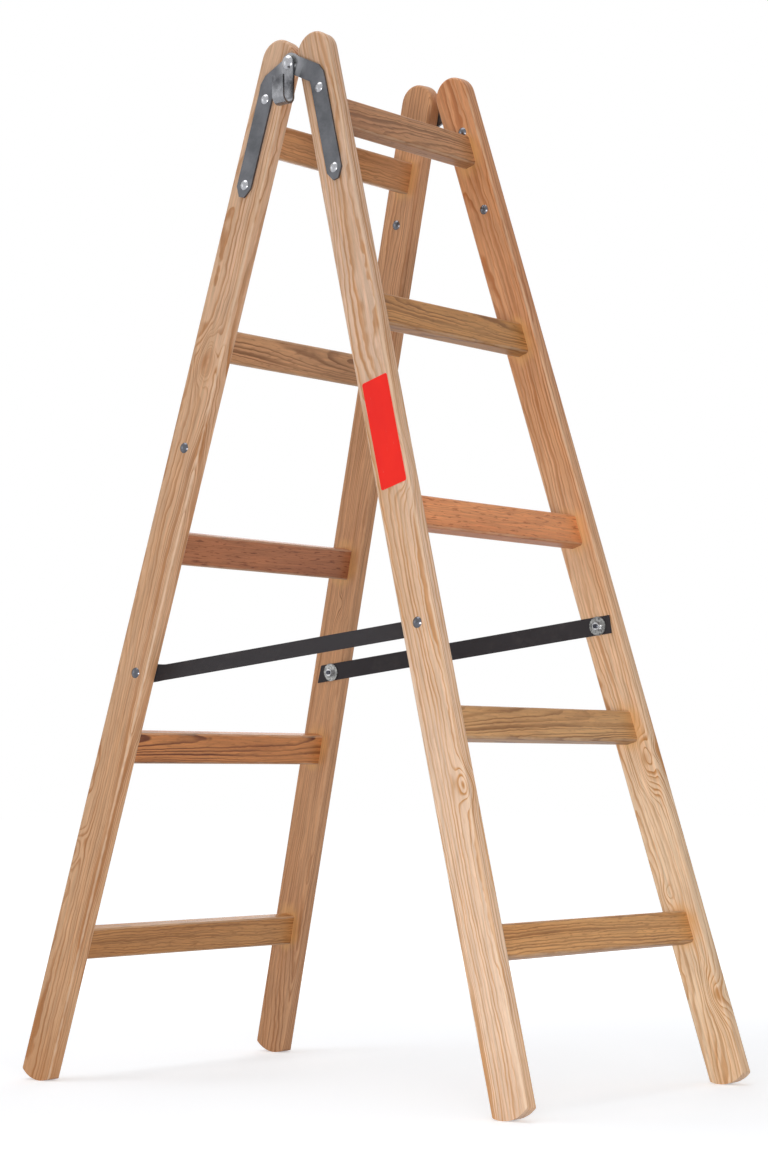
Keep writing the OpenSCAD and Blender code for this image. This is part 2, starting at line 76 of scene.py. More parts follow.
# %% [markdown]
# Board frames. Grain follows the board, not the room, so every board needs its own axes. A stile has x across
# its broad face, y through its thickness and z along it. A rung has x through its depth, y up its face and z
# along it. The boards could be unwrapped like paper, but the grain would break at every edge. A node's points
# are in room coordinates at rest, so one fixed turn and move, held in a Mapping node, takes a point to its
# place in the board, and the grain rides with the board when the ladder folds.

# %% Board frames
LEAN, TAPER = math.radians(15.4), math.radians(3.835099)
HINGE_HEIGHT = 1.358014
STILE_MIDDLE, STILE_WIDTH, STILE_THICKNESS = 0.032989, 0.055, 0.022
HALF_WIDTH_AT_HINGE = 0.161078
RUNG_PITCH, RUNG_HEIGHT, RUNG_DEPTH = 0.280, 0.044, 0.020
FIRST_RUNG = {"front": -0.081, "rear": -0.101}
OUTWARD = {"front": 1, "rear": -1}
SIDEWAYS = {"near": -1, "far": 1}


def section_frame(section):
    """Axes of a ladder section, from the hinge: z up the section, x towards the front."""
    turn = -OUTWARD[section] * LEAN
    return Matrix.Translation((0, 0, HINGE_HEIGHT)) @ Matrix.Rotation(turn, 4, "Y")


def stile_frame(section, side):
    """Axes of a stile, from the middle of its section at the height of the hinge."""
    out, across = OUTWARD[section], SIDEWAYS[side]
    at_side = Matrix.Translation((0, across * HALF_WIDTH_AT_HINGE, 0))
    lean_in = at_side @ Matrix.Rotation(across * TAPER, 4, "X")
    to_middle = Matrix.Translation((out * STILE_MIDDLE, -across * STILE_THICKNESS / 2, 0))
    return section_frame(section) @ lean_in @ to_middle


def rung_frame(section, number):
    """Axes of a rung, from its middle."""
    level = FIRST_RUNG[section] - (number - 1) * RUNG_PITCH
    at_level = Matrix.Translation((OUTWARD[section] * STILE_MIDDLE, 0, level))
    return section_frame(section) @ at_level @ Matrix.Rotation(math.radians(90), 4, "X")


print("front near stile starts at", [round(v, 3) for v in stile_frame("front", "near").to_translation()])

# %% [markdown]
# Helpers for node trees. A material is a small machine of nodes and wires. Written out in full, each node
# takes five lines, and the idea gets lost. These helpers add a node, set it up and wire it in one line, so
# that a finish reads like a sum. They come in four short cells: wires, patterns, colours, and whole finishes.

# %% Wiring helpers
def join(tree, wire, socket):
    """Feeds an input: a wire is linked, a plain value is set, and None leaves the input alone."""
    if isinstance(wire, bpy.types.NodeSocket):
        tree.links.new(wire, socket)
    elif wire is not None:
        socket.default_value = wire


def put(tree, kind, *wires, **settings):
    """Adds a node and feeds its inputs in order."""
    made = tree.nodes.new("ShaderNode" + kind)
    for name, value in settings.items():
        setattr(made, name, value)
    for socket, wire in zip(made.inputs, wires):
        join(tree, wire, socket)
    return made


def calc(tree, operation, *wires):
    """One step of arithmetic on values."""
    return put(tree, "Math", *wires, operation=operation).outputs[0]


def move(tree, operation, *wires):
    """One step of arithmetic on places."""
    return put(tree, "VectorMath", *wires, operation=operation).outputs[0]


def scaled(tree, vector, amount):
    """A vector made longer or shorter by an amount."""
    made = put(tree, "VectorMath", vector, operation="SCALE")
    join(tree, amount, made.inputs["Scale"])
    return made.outputs[0]


def length(tree, vector):
    """How long a vector is."""
    return put(tree, "VectorMath", vector, operation="LENGTH").outputs[1]


def axes(tree, vector):
    """A place's x, y and z."""
    return put(tree, "SeparateXYZ", vector).outputs


def place_at_rest(tree):
    """A point's place on the ladder at rest, which the point keeps when its piece moves."""
    return put(tree, "TexCoord").outputs["Object"]


print("wiring helpers ready")

# %% Pattern helpers
def stretch(tree, vector, by):
    """Multiplies x, y and z, each by its own number."""
    return move(tree, "MULTIPLY", vector, by)


def cloud(tree, vector, per_metre, detail, roughness=0.5):
    """Soft noise, with about so many clouds to a metre along x, y and z."""
    return put(tree, "TexNoise", stretch(tree, vector, per_metre), None, 1.0, detail, roughness).outputs[0]


def hypotenuse(tree, one, two):
    """The straight distance across a square corner."""
    squares = [calc(tree, "MULTIPLY", side, side) for side in (one, two)]
    return calc(tree, "SQRT", calc(tree, "ADD", *squares))


def step_up(tree, value, low, high):
    """0 below low, 1 above high, and a soft slope between them."""
    made = put(tree, "MapRange", value, low, high, 0.0, 1.0, interpolation_type="SMOOTHSTEP")
    return made.outputs[0]


def step_down(tree, value, low, high):
    """1 below low, 0 above high, and a soft slope between them."""
    return calc(tree, "SUBTRACT", 1.0, step_up(tree, value, low, high))


print("pattern helpers ready")

# %% Colour helpers
def linear(red, green, blue):
    """A colour read off a screen, 0 to 255, as Blender counts light."""
    parts = [c / 255 for c in (red, green, blue)]
    return tuple(c / 12.92 if c <= 0.04045 else ((c + 0.055) / 1.055) ** 2.4 for c in parts) + (1,)


def tint(tree, amount, first, second, mode="MIX"):
    """Mixes two colours by an amount."""
    made = put(tree, "Mix", data_type="RGBA", blend_type=mode)
    for index, wire in ((0, amount), (6, first), (7, second)):
        join(tree, wire, made.inputs[index])
    return made.outputs[2]


def paint(tree, mask, share, under, over):
    """Lays one colour over another where a mask says, as strongly as a share says."""
    return tint(tree, calc(tree, "MULTIPLY", mask, share), under, over)


def shade(tree, color, value):
    """Makes a colour darker or lighter by a value."""
    grey = put(tree, "CombineColor", value, value, value).outputs[0]
    return tint(tree, 1.0, color, grey, "MULTIPLY")


print("colour helpers ready, mid grey is", round(linear(128, 128, 128)[0], 3))

# %% Effect and finish helpers
SOCKETS = {"v": "NodeSocketVector", "f": "NodeSocketFloat", "c": "NodeSocketColor"}


def effect(name, inputs, outputs):
    """A shared effect: an empty node group with named sockets, and its two ends."""
    tree = bpy.data.node_groups.new(name, "ShaderNodeTree")
    for way, sockets in (("INPUT", inputs), ("OUTPUT", outputs)):
        for socket, kind in sockets.items():
            tree.interface.new_socket(socket, in_out=way, socket_type=SOCKETS[kind])
    return tree, tree.nodes.new("NodeGroupInput").outputs, tree.nodes.new("NodeGroupOutput").inputs


def use(tree, group, **values):
    """Places a shared effect in a material, with its own values."""
    made = tree.nodes.new("ShaderNodeGroup")
    made.node_tree = group
    for name, wire in values.items():
        join(tree, wire, made.inputs[name.replace("_", " ")])
    return made.outputs


def new_finish(name):
    """A new material, with its node tree and its shader."""
    made = bpy.data.materials.new(name)
    made.use_nodes = True
    return made, made.node_tree, made.node_tree.nodes["Principled BSDF"]


def surface(tree, shader, color, roughness, height, relief, depth):
    """Wires a colour, a roughness and a fine relief to a shader."""
    bump = put(tree, "Bump", relief, depth)
    join(tree, height, bump.inputs["Height"])
    join(tree, color, shader.inputs["Base Color"])
    join(tree, roughness, shader.inputs["Roughness"])
    join(tree, bump.outputs[0], shader.inputs["Normal"])


def set_plain(shader, **values):
    """Sets the inputs that are the same all over a surface."""
    for name, value in values.items():
        shader.inputs[name.replace("_", " ")].default_value = value


def dress(node, material):
    """Gives a node of the frame its finish."""
    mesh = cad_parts[node].data
    mesh.materials.clear()
    mesh.materials.append(material)


print("finish helpers ready")

# %% [markdown]
# Timber grain. A board is a slice of a tree, so its lines are the tree's year rings cut by the board's faces.
# A picture of grain pasted on each face would not meet at the edges. Here the rings are solid: distance from
# the heart of the tree, bent by slow noise, cut into years, each year pale at first and dark at its end.
# Every face and end then shows the cut that a real board would. A slow drift bends whole lines, and a wave
# and a ripple make them unsteady.

# %% Year rings
timber_grain, given, result = effect(
    "timber grain",
    {"Place": "v", "Heart": "v", "Seed": "v", "Ring": "f", "Wander": "f", "Waver": "f", "Swell": "f",
     "Knot": "f", "Pale": "c", "Dark": "c", "Stain": "c", "Line": "f", "Stain Share": "f", "Fleck": "f"},
    {"Color": "c", "Roughness": "f", "Height": "f"},
)
t = timber_grain
seeded = move(t, "ADD", given["Place"], given["Seed"])


def sway(per_metre, detail):
    """Noise around zero in three directions, drawn out along the board."""
    noise = put(t, "TexNoise", stretch(t, seeded, per_metre), None, 1.0, detail).outputs[1]
    return move(t, "SUBTRACT", noise, (0.5, 0.5, 0.5))


DRIFTS, WAVES, RIPPLES = (9, 9, 1.6), (34, 34, 15), (70, 70, 55)  # to a metre along x, y and z
WAVE_REACH, RIPPLE_REACH = 0.009, 0.0032
drift = scaled(t, sway(DRIFTS, 1.5), given["Wander"])
wave = stretch(t, sway(WAVES, 2.0), (WAVE_REACH, WAVE_REACH, 0))
ripple = stretch(t, sway(RIPPLES, 1.0), (RIPPLE_REACH, RIPPLE_REACH, 0))
unsteady = scaled(t, move(t, "ADD", wave, ripple), given["Waver"])
from_heart = move(t, "ADD", move(t, "SUBTRACT", given["Place"], given["Heart"]), drift)
from_heart = move(t, "ADD", from_heart, unsteady)
ring_distance = calc(t, "ADD", length(t, stretch(t, from_heart, (1, 1, 0))), given["Swell"])
print("year rings:", len(t.nodes), "nodes so far")

# %% Years, pale and dark
SPELLS_PER_YEAR, SPELL_REACH = 0.7, 1.6  # good and bad spells make wide and narrow rings
DARK_STARTS, DARK_FULL, DARK_STOPS = 0.34, 0.84, 0.11
BOLD_PATCHES, BOLD_STEP, FAINTEST_LINE = (48, 48, 5), (0.30, 0.62), 0.4
years = calc(t, "DIVIDE", ring_distance, given["Ring"])
spell = put(t, "TexNoise", None, years, SPELLS_PER_YEAR, 1.0, noise_dimensions="1D").outputs[0]
year = calc(t, "FRACT", calc(t, "MULTIPLY_ADD", spell, SPELL_REACH, years))
darkens = step_up(t, year, DARK_STARTS, DARK_FULL)
stops = step_up(t, calc(t, "SUBTRACT", 1.0, year), 0.0, DARK_STOPS)
boldness = step_up(t, cloud(t, seeded, BOLD_PATCHES, 2.0), *BOLD_STEP)
boldness = calc(t, "MULTIPLY_ADD", boldness, 1 - FAINTEST_LINE, FAINTEST_LINE)
dark_line = calc(t, "MULTIPLY", calc(t, "MULTIPLY", darkens, stops), boldness)
print("years:", len(t.nodes), "nodes so far")

# %% Grain colours
FIBRES, FLECKS, STAINS = (330, 330, 17), (420, 420, 60), (21, 21, 3.1)  # to a metre along x, y and z
FLECK_STEP, STAIN_STEP = (0.56, 0.70), (0.42, 0.68)
BOLDER_BY_SWELL = 30.0  # lines are bolder where a knot makes the rings swell
KNOT_SHARE, KNOT_OCHRE = 0.6, linear(172, 106, 48)
FIBRE_LIGHT, FIBRE_DARKEST = 0.9, 0.55
FIBRE_ROUGH, LACQUER_ROUGH = 0.22, 0.36
FIBRE_RAISED, LINE_SUNK = 0.5, 0.4
fibre = cloud(t, seeded, FIBRES, 4.0, 0.66)
fleck = step_up(t, cloud(t, seeded, FLECKS, 2.0), *FLECK_STEP)
stain = step_up(t, cloud(t, seeded, STAINS, 2.0), *STAIN_STEP)
bolder = calc(t, "MULTIPLY_ADD", given["Swell"], BOLDER_BY_SWELL, given["Line"])
color = paint(t, stain, given["Stain Share"], given["Pale"], given["Stain"])
color = paint(t, dark_line, calc(t, "MINIMUM", bolder, 1.0), color, given["Dark"])
color = paint(t, fleck, given["Fleck"], color, given["Dark"])
color = paint(t, given["Knot"], KNOT_SHARE, color, KNOT_OCHRE)
color = shade(t, color, calc(t, "MULTIPLY_ADD", fibre, FIBRE_LIGHT, FIBRE_DARKEST))
join(t, color, result["Color"])
join(t, calc(t, "MULTIPLY_ADD", fibre, FIBRE_ROUGH, LACQUER_ROUGH), result["Roughness"])
raised, sunk = calc(t, "MULTIPLY", fibre, FIBRE_RAISED), calc(t, "MULTIPLY", dark_line, LINE_SUNK)
join(t, calc(t, "SUBTRACT", raised, sunk), result["Height"])
print("timber grain:", len(t.nodes), "nodes")

# %% [markdown]
# Knots. Where a branch grew, the rings bend round it and close into a whorl with an ochre core. A knot could
# be painted as a disc, but the rings would run straight through it. This effect puts out a swell, which the
# grain adds to its distance from the heart so that the rings go round, and a mask for the core.

# %% Knot group
knot, given, result = effect("knot", {"Place": "v", "Centre": "v", "Size": "f"}, {"Swell": "f", "Core": "f"})
t = knot
KNOT_SHAPE = (1, 0.25, 0.45)  # longer along the board than across it, and deeper still
SWELL_PER_SIZE = 2.0
WOBBLES, WOBBLE_REACH, WOBBLE_LEAST = (60, 20, 25), 0.8, 0.6
CORE_STEP = (0.18, 0.55)
off = stretch(t, move(t, "SUBTRACT", given["Place"], given["Centre"]), KNOT_SHAPE)
wobble = cloud(t, given["Place"], WOBBLES, 1.0)
wobble = calc(t, "MULTIPLY_ADD", wobble, WOBBLE_REACH, WOBBLE_LEAST)
reach = calc(t, "MULTIPLY", calc(t, "DIVIDE", length(t, off), given["Size"]), wobble)
fall = calc(t, "EXPONENT", calc(t, "MULTIPLY", calc(t, "MULTIPLY", reach, reach), -0.5))
tallest = calc(t, "MULTIPLY", given["Size"], SWELL_PER_SIZE)
join(t, calc(t, "MULTIPLY", fall, tallest), result["Swell"])
join(t, step_down(t, reach, *CORE_STEP), result["Core"])
print("knot:", len(t.nodes), "nodes")

# %% [markdown]
# Edge wear and highlight. Hands, boots and van floors rub the long edges of a board first, so the finish is
# thinner and paler there, and the paler edge is also a painted highlight along the rounded arris. Blender can
# find edges from the mesh, but that needs a dense mesh. A board's edges are where its own axes say they are,
# so
# the mask comes from the board frame: near both a broad face and a narrow face. The same effect puts out a
# broad, soft mask for grime.

# %% Edge wear and highlight group
edge_wear_and_highlight, given, result = effect(
    "edge wear and highlight", {"Place": "v", "Half Width": "f", "Half Depth": "f", "Seed": "v"},
    {"Wear And Highlight": "f", "Grime": "f"},
)
t = edge_wear_and_highlight
# Paler long edges: wear, with a painted highlight along the arris.
WEAR_AND_HIGHLIGHT_PATCHES, WEAR_AND_HIGHLIGHT_SPREAD, WEAR_AND_HIGHLIGHT_LEAST, WEAR_AND_HIGHLIGHT_STEP = (90, 90, 28), 0.0042, 0.0005, (0.55, 1.25)
SMEARS, GRIME_STEP = (13, 13, 5), (0.52, 0.8)
part = axes(t, given["Place"])
side_gap = calc(t, "SUBTRACT", given["Half Width"], calc(t, "ABSOLUTE", part[0]))
face_gap = calc(t, "SUBTRACT", given["Half Depth"], calc(t, "ABSOLUTE", part[1]))
seeded = move(t, "ADD", given["Place"], given["Seed"])
patchy = cloud(t, seeded, WEAR_AND_HIGHLIGHT_PATCHES, 3.0, 0.6)
worn_and_highlit_width = calc(t, "MULTIPLY_ADD", patchy, WEAR_AND_HIGHLIGHT_SPREAD, WEAR_AND_HIGHLIGHT_LEAST)
from_edge = calc(t, "DIVIDE", hypotenuse(t, side_gap, face_gap), worn_and_highlit_width)
join(t, step_down(t, from_edge, *WEAR_AND_HIGHLIGHT_STEP), result["Wear And Highlight"])
smear = cloud(t, seeded, SMEARS, 4.0, 0.62)
join(t, step_up(t, smear, *GRIME_STEP), result["Grime"])
print("edge wear and highlight:", len(t.nodes), "nodes")

# %% [markdown]
# Joint glow. Beside each rung, on the stile's inner face, a warm yellow glow of light bounced off the rung is
# painted into the colour. Five patches could be placed one by one on each stile. The rungs come at an even
# pitch, so one distance that starts again at every rung makes all five at once.

# %% Painted joint glow group
painted_joint_glow, given, result = effect(
    "painted joint glow", {"Place": "v", "First": "f", "Inner": "f", "Seed": "v"}, {"Joint Glow": "f"}
)
t = painted_joint_glow
# A painted glow of bounced light, in a patch beside each rung on the inner face.
JOINT_GLOW_ALONG, JOINT_GLOW_ACROSS, JOINT_GLOW_STEP = 0.031, 0.020, (0.55, 1.4)
JOINT_GLOW_RAGS, JOINT_GLOW_RAGGED = (70, 70, 40), 0.9
INNER_STEP = (0.004, 0.010)
part = axes(t, given["Place"])
pitches = calc(t, "DIVIDE", calc(t, "SUBTRACT", part[2], given["First"]), RUNG_PITCH)
nearest = calc(t, "SUBTRACT", calc(t, "FRACT", calc(t, "ADD", pitches, 0.5)), 0.5)
along = calc(t, "DIVIDE", calc(t, "MULTIPLY", nearest, RUNG_PITCH), JOINT_GLOW_ALONG)
across = calc(t, "DIVIDE", part[0], JOINT_GLOW_ACROSS)
ragged = cloud(t, move(t, "ADD", given["Place"], given["Seed"]), JOINT_GLOW_RAGS, 2.0)
ragged = calc(t, "MULTIPLY_ADD", ragged, JOINT_GLOW_RAGGED, -JOINT_GLOW_RAGGED / 2)
patch = step_down(t, calc(t, "ADD", hypotenuse(t, along, across), ragged), *JOINT_GLOW_STEP)
inner_side = step_up(t, calc(t, "MULTIPLY", part[1], given["Inner"]), *INNER_STEP)
join(t, calc(t, "MULTIPLY", patch, inner_side), result["Joint Glow"])
print("painted joint glow:", len(t.nodes), "nodes")

# %% [markdown]
# A board's material. All fourteen boards could share one material, but then they would all show one plank's
# colours. Here they share the effects above, each with its own heart, seed and colours, so that no two look
# cut from the same plank. The heart may be tilted a little from the board, which makes its lines meet in long
# arches. The finish is a thin clear lacquer: a slight coat over a half-rough base.

# %% Place in a board, and its knots
def place_in_board(tree, frame_of_board):
    """A point's place in the axes of its board."""
    inverse = frame_of_board.inverted()
    mapped = put(tree, "Mapping", place_at_rest(tree), inverse.to_translation(), inverse.to_euler(),
                 (1, 1, 1), vector_type="POINT")
    return mapped.outputs[0]


def whorls(tree, place, knots):
    """The swell and the core of all of a board's knots."""
    swell, core = 0.0, 0.0
    for centre, size in knots:
        whorl = use(tree, knot, Place=place, Centre=centre, Size=size)
        swell = calc(tree, "ADD", swell, whorl["Swell"])
        core = calc(tree, "MAXIMUM", core, whorl["Core"])
    return swell, core


print("board places ready")

# %% Board material
GRIME_SHARE, GRIME_BROWN, GRIME_ROUGH = 0.16, linear(120, 92, 70), 0.12
# The pale edge colour: wear, with a painted highlight.
WORN_AND_HIGHLIT_PALE = linear(236, 208, 178)


def board(name, frame_of_board, half_width, half_depth, own_marks, pale, dark, stain, line, stain_share, ring,
          heart, seed, wander, waver=1.0, tilt=0.0, fleck=0.2, wear_and_highlight=0.3, knots=()):
    """A lacquered board. Own marks is a function that adds what only stiles or only rungs have."""
    made, tree, shader = new_finish(name)
    place = place_in_board(tree, frame_of_board)
    swell, core = whorls(tree, place, knots)
    along_tree = put(tree, "Mapping", place, None, (0, tilt, 0)).outputs[0]
    grain = use(tree, timber_grain, Place=along_tree, Heart=heart, Seed=seed, Ring=ring, Wander=wander,
                Waver=waver, Swell=swell, Knot=core, Pale=linear(*pale), Dark=linear(*dark),
                Stain=linear(*stain), Line=line, Stain_Share=stain_share, Fleck=fleck)
    edges = use(tree, edge_wear_and_highlight, Place=place, Half_Width=half_width, Half_Depth=half_depth, Seed=seed)
    color = own_marks(tree, grain["Color"], place, edges["Grime"])
    color = paint(tree, edges["Grime"], GRIME_SHARE, color, GRIME_BROWN)
    # Paler along the long edges: wear, and a painted highlight along the rounded arris.
    color = paint(tree, edges["Wear And Highlight"], wear_and_highlight, color, WORN_AND_HIGHLIT_PALE)
    rough = calc(tree, "MULTIPLY_ADD", edges["Grime"], GRIME_ROUGH, grain["Roughness"])
    surface(tree, shader, color, rough, grain["Height"], relief=0.35, depth=0.0004)
    set_plain(shader, Specular_IOR_Level=0.3, Coat_Weight=0.1, Coat_Roughness=0.2)
    return made


print("board material ready")

# %% [markdown]
# The four stiles. They are pale softwood, flat sawn, so the heart of the tree lies behind the broad face and
# the lines run in long waves, with knots where the picture shows them. Painted light and shade make each
# stile lighter or darker from its top to its foot, and the feet are warmer where they have soaked up damp. A
# gradient painted in the room would slide when the ladder folds, so both follow the distance down the stile.

# %% What only a stile has
# Top and foot tones are painted light and shade; soak is a damp stain at the foot.
STILE_PAINTED_LIGHT_AND_SOAK = {
    ("front", "near"): dict(top=(0.90, 0.86, 0.84), foot=(1.01, 1.02, 1.01), soak=0.12),
    ("front", "far"): dict(top=(0.83, 0.65, 0.54), foot=(1.18, 1.44, 1.78), soak=0.12),
    ("rear", "near"): dict(top=(1.0, 1.01, 1.06), foot=(0.94, 0.86, 0.76), soak=0.45),
    ("rear", "far"): dict(top=(1.08, 1.04, 0.97), foot=(1.02, 1.0, 0.96), soak=0.0),
}
PAINTED_LIGHT_STEP = (0.1, 1.3)  # metres down from the hinge
SOAK_STEP, SOAK_RAGGED, SOAKED_BROWN = (1.30, 1.42), 0.05, linear(190, 126, 70)
# Colour and strength of the painted glow of bounced light beside each rung.
JOINT_GLOW_SHARE, JOINT_GLOW_YELLOW = 0.6, linear(236, 182, 116)


def stile_marks(section, side, seed):
    """Painted light and shade that turn along the stile, a damp foot, and a painted glow of light beside each
    rung.
    """
    painted_light_and_soak = STILE_PAINTED_LIGHT_AND_SOAK[section, side]

    def marks(tree, color, place, grime):
        down = calc(tree, "MULTIPLY", axes(tree, place)[2], -1.0)
        # Painted light and shade: the stile is made lighter or darker from its top to its foot.
        painted_light_tone = tint(tree, step_up(tree, down, *PAINTED_LIGHT_STEP), painted_light_and_soak["top"] + (1,), painted_light_and_soak["foot"] + (1,))
        color = tint(tree, 1.0, color, painted_light_tone, "MULTIPLY")
        ragged_down = calc(tree, "MULTIPLY_ADD", grime, SOAK_RAGGED, down)
        soaked = step_up(tree, ragged_down, *SOAK_STEP)
        color = paint(tree, soaked, painted_light_and_soak["soak"], color, SOAKED_BROWN)
        # A painted glow of bounced light on the inner face beside each rung.
        joint_glow = use(tree, painted_joint_glow, Place=place, First=FIRST_RUNG[section], Inner=-SIDEWAYS[side],
                    Seed=seed)
        return paint(tree, joint_glow["Joint Glow"], JOINT_GLOW_SHARE, color, JOINT_GLOW_YELLOW)

    return marks


print("stile tones:", len(STILE_PAINTED_LIGHT_AND_SOAK))

# %% Stiles
STILE_WAVER = 0.6
STILES = {
    ("front", "near"): dict(
        pale=(232, 198, 170), dark=(196, 134, 72), stain=(218, 174, 132), line=0.85, stain_share=0.45,
        ring=0.0042, heart=(0.034, 0.040, 0), seed=(3.1, 7.7, 1.9), wander=0.06, wear_and_highlight=0.45,
        knots=[((0.018, 0, -0.595), 0.010), ((0.024, 0, -1.010), 0.007)],
    ),
    ("front", "far"): dict(
        pale=(228, 182, 138), dark=(182, 112, 50), stain=(212, 150, 96), line=0.75, stain_share=0.5,
        ring=0.0040, heart=(-0.030, -0.036, 0), seed=(11.3, 2.2, 5.4), wander=0.06, wear_and_highlight=0.4,
        knots=[((0.012, 0, -0.970), 0.013), ((0.019, 0, -1.300), 0.009), ((-0.010, 0, -1.151), 0.005)],
    ),
    ("rear", "near"): dict(
        pale=(222, 181, 145), dark=(176, 114, 58), stain=(200, 150, 102), line=0.85, stain_share=0.45,
        ring=0.0040, heart=(-0.032, 0.042, 0), seed=(6.6, 9.1, 8.3), wander=0.06, wear_and_highlight=0.5,
        knots=[((0.0, 0, -0.406), 0.012), ((-0.024, 0, -1.096), 0.008)],
    ),
    ("rear", "far"): dict(
        pale=(202, 153, 114), dark=(150, 96, 54), stain=(182, 129, 88), line=0.75, stain_share=0.5,
        ring=0.0034, heart=(0.034, -0.040, 0), seed=(14.9, 4.5, 2.7), wander=0.05, wear_and_highlight=0.08,
        knots=[((0.008, 0, -0.720), 0.006)],
    ),
}
for (section, side), look in STILES.items():
    name = f"{section}_{side}_stile"
    marks = stile_marks(section, side, look["seed"])
    dress(name, board(name + "_timber", stile_frame(section, side), STILE_WIDTH / 2, STILE_THICKNESS / 2,
                      marks, waver=STILE_WAVER, **look))
print("stiles dressed:", len(STILES))

# %% [markdown]
# The ten rungs. They are a redder, closer-grained timber than the stiles, and each has its own tone: some are
# brown with lines that meet in arches, some reddish with short dark flecks. Their lines run along the rung,
# across the ladder, and the underside has painted shade. One material on all ten would look like a
# pattern that repeats, so each has a row of its own. A rung whose row names no heart gets one by turning a
# little further than the rung before.

# %% What only a rung has
# Painted shade under each rung: where it starts, how strong it is, and its brown.
UNDER_SHADE_FROM, UNDER_SHADE_SHARE, UNDER_SHADE_BROWN = 0.72, 0.45, linear(96, 66, 42)


def rung_marks(tree, color, place, grime):
    """Painted shade on the underside."""
    low = calc(tree, "MULTIPLY", axes(tree, place)[1], -1.0 / (RUNG_HEIGHT / 2))
    # Painted shade: the underside is made darker.
    return paint(tree, step_up(tree, low, UNDER_SHADE_FROM, 1.0), UNDER_SHADE_SHARE, color, UNDER_SHADE_BROWN)


print("undersides darken over", round((1 - UNDER_SHADE_FROM) * RUNG_HEIGHT / 2 * 1000, 1), "mm")

# %% Rungs
RUNGS = {
    ("front", 1): dict(pale=(198, 143, 99), dark=(112, 66, 33), stain=(168, 111, 70), line=0.7, ring=0.0034,
                       fleck=0.5, heart=(-0.014, -0.026, 0), tilt=0.02, waver=0.5),
    ("front", 2): dict(pale=(198, 142, 84), dark=(118, 70, 29), stain=(172, 114, 60), line=0.8, ring=0.0036,
                       fleck=0.45, heart=(-0.016, 0.022, 0), tilt=0.025, waver=0.5),
    ("front", 3): dict(pale=(234, 156, 101), dark=(178, 98, 54), stain=(214, 133, 81), line=0.3, ring=0.0030,
                       fleck=0.85),
    ("front", 4): dict(pale=(211, 161, 107), dark=(126, 76, 31), stain=(190, 136, 82), line=0.8, ring=0.0034,
                       fleck=0.3, heart=(-0.014, 0.017, 0), tilt=-0.022, waver=0.35),
    ("front", 5): dict(pale=(218, 161, 101), dark=(132, 78, 28), stain=(188, 128, 68), line=0.7, ring=0.0034,
                       fleck=0.4, heart=(-0.013, 0.026, 0), tilt=0.018, waver=0.5),
    ("rear", 1): dict(pale=(206, 150, 100), dark=(138, 87, 49), stain=(182, 126, 81), line=0.5, ring=0.0040,
                      fleck=0.4),
    ("rear", 2): dict(pale=(202, 152, 109), dark=(116, 70, 40), stain=(176, 124, 82), line=0.8, ring=0.0038,
                      fleck=0.35, heart=(-0.010, 0.024, 0), tilt=0.03, waver=0.4),
    ("rear", 3): dict(pale=(175, 112, 75), dark=(115, 61, 35), stain=(158, 94, 60), line=0.3, ring=0.0030,
                      fleck=0.9),
    ("rear", 4): dict(pale=(202, 133, 78), dark=(90, 36, 8), stain=(158, 86, 38), line=1.0, ring=0.0040,
                      fleck=0.25, heart=(-0.004, 0.014, 0), tilt=-0.03, waver=0.35, wander=0.03),
    ("rear", 5): dict(pale=(195, 140, 85), dark=(124, 76, 36), stain=(174, 118, 66), line=0.6, ring=0.0042,
                      fleck=0.45),
}
HEART_DEEP, HEART_HIGH = 0.016, 0.045
TURN_PER_RUNG, TURN_OF_REAR = 2.4, 0.7
RUNG_WANDER, RUNG_STAIN_SHARE = 0.045, 0.6
for (section, number), look in RUNGS.items():
    name = f"{section}_rung_{number}"
    turn = number * TURN_PER_RUNG + (TURN_OF_REAR if section == "rear" else 0)
    heart = (HEART_DEEP * math.cos(turn), math.copysign(HEART_HIGH, math.sin(turn)), 0)
    seed = (number * 3.7, turn * 5.1, number * 1.3)
    finish = dict(heart=heart, wander=RUNG_WANDER, stain_share=RUNG_STAIN_SHARE) | look
    dress(name, board(name + "_timber", rung_frame(section, number), RUNG_DEPTH / 2, RUNG_HEIGHT / 2,
                      rung_marks, seed=seed, **finish))
print("rungs dressed:", len(RUNGS))

# %% [markdown]
# Zinc-plated steel. Bright zinc dulls within months to a satin grey, cloudier in some places, with fine
# rubbed lines. A single grey with a high shine would look like new chrome. One effect makes the cloud, the
# specks and the lines, and arms, pins, hook and bolts use it with their own shade and shine. A paler zinc is
# painted on top: round the pivot it is wear from sliding with a painted highlight, and on rivet heads outside
# the stiles and in the hook's bend it is a painted highlight.

# %% Zinc bloom group
zinc_bloom, given, result = effect(
    "zinc bloom", {"Place": "v", "Bright": "c", "Dull": "c", "Scale": "f", "Shine": "f"},
    {"Color": "c", "Roughness": "f", "Height": "f"},
)
t = zinc_bloom
SPECKS_PER_CLOUD, SPECK_REACH, SPECK_DARKEST = 9.0, 0.10, 0.95
RUBS, BLOOM_STEP = (160, 160, 1500), (0.25, 0.75)
BLOOM_DULLS, RUB_DULLS = 0.14, 0.1
BLOOM_RAISED, RUB_RAISED = 0.6, 0.4
cloudy = put(t, "TexNoise", given["Place"], None, given["Scale"], 5.0, 0.62).outputs[0]
speck_scale = calc(t, "MULTIPLY", given["Scale"], SPECKS_PER_CLOUD)
speck = put(t, "TexVoronoi", given["Place"], None, speck_scale, feature="F1").outputs[0]
rubbed = cloud(t, given["Place"], RUBS, 2.0)
bloom = step_up(t, cloudy, *BLOOM_STEP)
color = tint(t, bloom, given["Bright"], given["Dull"])
color = shade(t, color, calc(t, "MULTIPLY_ADD", speck, SPECK_REACH, SPECK_DARKEST))
join(t, color, result["Color"])
